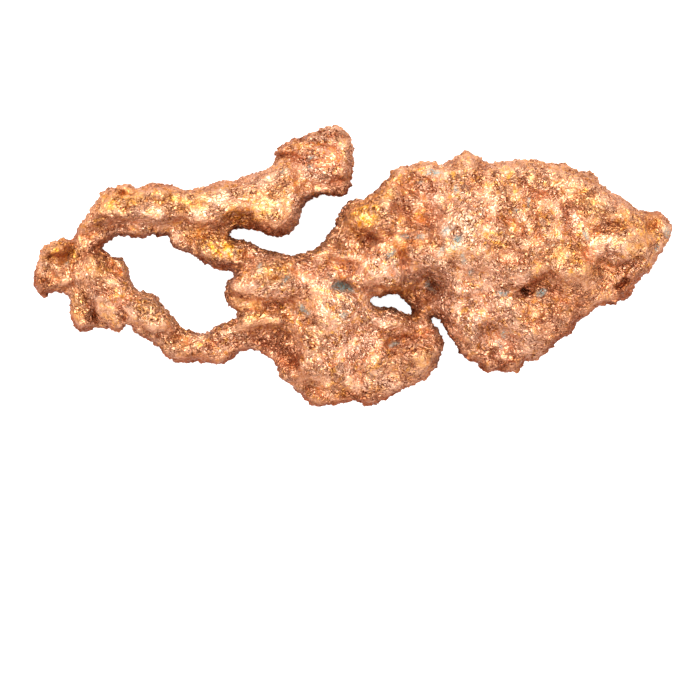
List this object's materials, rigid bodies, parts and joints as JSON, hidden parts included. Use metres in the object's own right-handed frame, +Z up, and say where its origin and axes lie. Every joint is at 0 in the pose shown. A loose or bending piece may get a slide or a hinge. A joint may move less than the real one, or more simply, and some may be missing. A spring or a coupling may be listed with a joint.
{
  "type": "native copper nugget",
  "caption": "Flat, hackly nugget of native copper: a broad pointed mass with a lobe and two arms that close a loop; it lies on its underside.",
  "frame": {"origin": "on the surface that the nugget lies on, under the middle of its box", "axes": "+X along the nugget's length, towards its pointed end; +Y across it, towards the flared arm; +Z up, out of the resting surface"},
  "size_m": [0.0742, 0.0328, 0.012],
  "materials": {
    "native_copper": "bright, rough native copper metal, pinkish orange with golden patches, dark red-brown in its hollows and a few blue-grey specks of residue"
  },
  "bodies": {
    "root": {"copper_nugget": "native_copper"}
  },
  "joints": []
}
